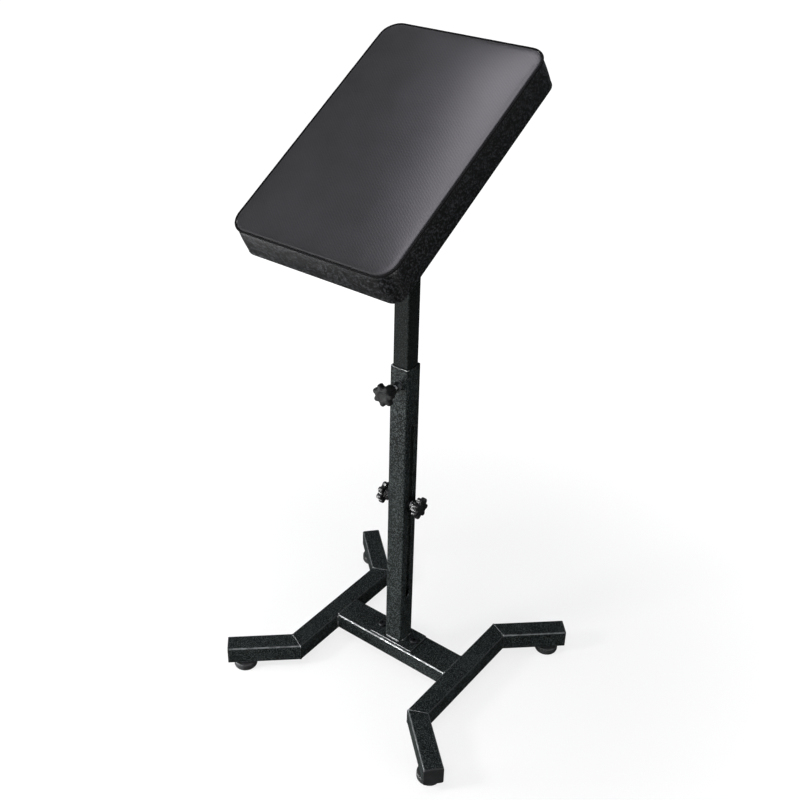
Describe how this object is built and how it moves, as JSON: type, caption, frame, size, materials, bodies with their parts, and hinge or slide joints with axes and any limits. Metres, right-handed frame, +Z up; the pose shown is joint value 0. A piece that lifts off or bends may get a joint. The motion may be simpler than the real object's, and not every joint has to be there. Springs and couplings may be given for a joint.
{
  "type": "tattoo arm rest stand",
  "caption": "Padded arm rest that tilts on a height-adjustable square post, standing on a welded base with two splayed legs.",
  "frame": {"origin": "on the floor plane, midway between the four feet and under the post's centre line", "axes": "+Z up along the post, +X along the cross beam to the sitter's right, -Y towards the sitter, where the pad's low edge is"},
  "size_m": [0.4386, 0.4113, 1.0011],
  "materials": {
    "painted_steel": "fine-textured satin black powder coat",
    "black_plastic": "moulded black, satin",
    "foot_rubber": "moulded black, matt",
    "zinc_steel": "bright zinc plate",
    "black_steel": "blackened",
    "washer_fibre": "matt fibre",
    "plywood": "bare plywood",
    "pad_vinyl": "charcoal vinyl with a fine emboss, over foam",
    "underside_cloth": "black non-woven"
  },
  "bodies": {
    "base": {"cross_beam": "painted_steel", "left_leg": "painted_steel", "right_leg": "painted_steel", "front_left_toe": "painted_steel", "front_right_toe": "painted_steel", "rear_left_toe": "painted_steel", "rear_right_toe": "painted_steel", "front_left_plug": "black_plastic", "front_right_plug": "black_plastic", "rear_left_plug": "black_plastic", "rear_right_plug": "black_plastic", "toe_nuts": "zinc_steel", "base_plate": "painted_steel", "base_bolts": "black_steel", "beam_nuts": "zinc_steel", "outer_post": "painted_steel", "clamp_nut": "painted_steel"},
    "telescopic_post": {"inner_post": "painted_steel", "inner_post_nuts": "zinc_steel", "pivot_bush": "zinc_steel"},
    "pad": {"saddle": "painted_steel", "friction_washers": "washer_fibre", "pivot_bolt": "zinc_steel", "pad_screws": "zinc_steel", "pad_board": "plywood", "pad_cushion": "pad_vinyl", "underside_cloth": "underside_cloth"},
    "clamp_knob": {"clamp_knob_head": "black_plastic", "clamp_knob_stud": "zinc_steel"},
    "left_washer": {"left_side_washer": "black_steel"},
    "left_knob": {"left_side_knob_head": "black_plastic", "left_side_knob_stud": "zinc_steel"},
    "right_washer": {"right_side_washer": "black_steel"},
    "right_knob": {"right_side_knob_head": "black_plastic", "right_side_knob_stud": "zinc_steel"},
    "pivot_washer": {"tilt_washer": "zinc_steel"},
    "tilt_knob": {"tilt_knob_head": "black_plastic", "tilt_knob_insert": "zinc_steel"},
    "front_left_levelling_foot": {"front_left_foot": "foot_rubber", "front_left_foot_stud": "zinc_steel"},
    "front_right_levelling_foot": {"front_right_foot": "foot_rubber", "front_right_foot_stud": "zinc_steel"},
    "rear_left_levelling_foot": {"rear_left_foot": "foot_rubber", "rear_left_foot_stud": "zinc_steel"},
    "rear_right_levelling_foot": {"rear_right_foot": "foot_rubber", "rear_right_foot_stud": "zinc_steel"}
  },
  "joints": [
    {"name": "height_slide", "type": "slide", "parent": "base", "child": "telescopic_post", "axis": [0, 0, 1], "range_m": [-0.182, 0.137]},
    {"name": "pad_tilt", "type": "hinge", "parent": "telescopic_post", "child": "pad", "pos_m": [0, 0, 0.824], "axis": [1, 0, 0], "range_deg": [-101, 39]},
    {"name": "clamp_knob_turn", "type": "hinge", "parent": "base", "child": "clamp_knob", "pos_m": [0, -0.05, 0.538], "axis": [0, -1, 0], "range_deg": [0, 720]},
    {"name": "left_washer_travel", "type": "slide", "parent": "telescopic_post", "child": "left_washer", "axis": [-1, 0, 0], "range_m": [0, 0.0025]},
    {"name": "left_knob_turn", "type": "hinge", "parent": "left_washer", "child": "left_knob", "pos_m": [-0.03, 0, 0.327], "axis": [-1, 0, 0], "range_deg": [0, 720]},
    {"name": "right_washer_travel", "type": "slide", "parent": "telescopic_post", "child": "right_washer", "axis": [1, 0, 0], "range_m": [0, 0.0025]},
    {"name": "right_knob_turn", "type": "hinge", "parent": "right_washer", "child": "right_knob", "pos_m": [0.03, 0, 0.327], "axis": [1, 0, 0], "range_deg": [0, 720]},
    {"name": "pivot_washer_travel", "type": "slide", "parent": "pad", "child": "pivot_washer", "axis": [1, 0, 0], "range_m": [0, 0.0025]},
    {"name": "tilt_knob_turn", "type": "hinge", "parent": "pivot_washer", "child": "tilt_knob", "pos_m": [0.03, 0, 0.824], "axis": [1, 0, 0], "range_deg": [0, 720]},
    {"name": "front_left_foot_turn", "type": "hinge", "parent": "base", "child": "front_left_levelling_foot", "pos_m": [-0.18817, -0.17128, 0.01], "axis": [0, 0, 1], "continuous": true},
    {"name": "front_right_foot_turn", "type": "hinge", "parent": "base", "child": "front_right_levelling_foot", "pos_m": [0.18817, -0.17128, 0.01], "axis": [0, 0, 1], "continuous": true},
    {"name": "rear_left_foot_turn", "type": "hinge", "parent": "base", "child": "rear_left_levelling_foot", "pos_m": [-0.18817, 0.17128, 0.01], "axis": [0, 0, 1], "continuous": true},
    {"name": "rear_right_foot_turn", "type": "hinge", "parent": "base", "child": "rear_right_levelling_foot", "pos_m": [0.18817, 0.17128, 0.01], "axis": [0, 0, 1], "continuous": true}
  ],
  "couplings": [
    {"joint": "left_knob_turn", "follows": "left_washer_travel", "rad_per_m": 5026.5},
    {"joint": "right_knob_turn", "follows": "right_washer_travel", "rad_per_m": 5026.5},
    {"joint": "tilt_knob_turn", "follows": "pivot_washer_travel", "rad_per_m": 5026.5}
  ]
}
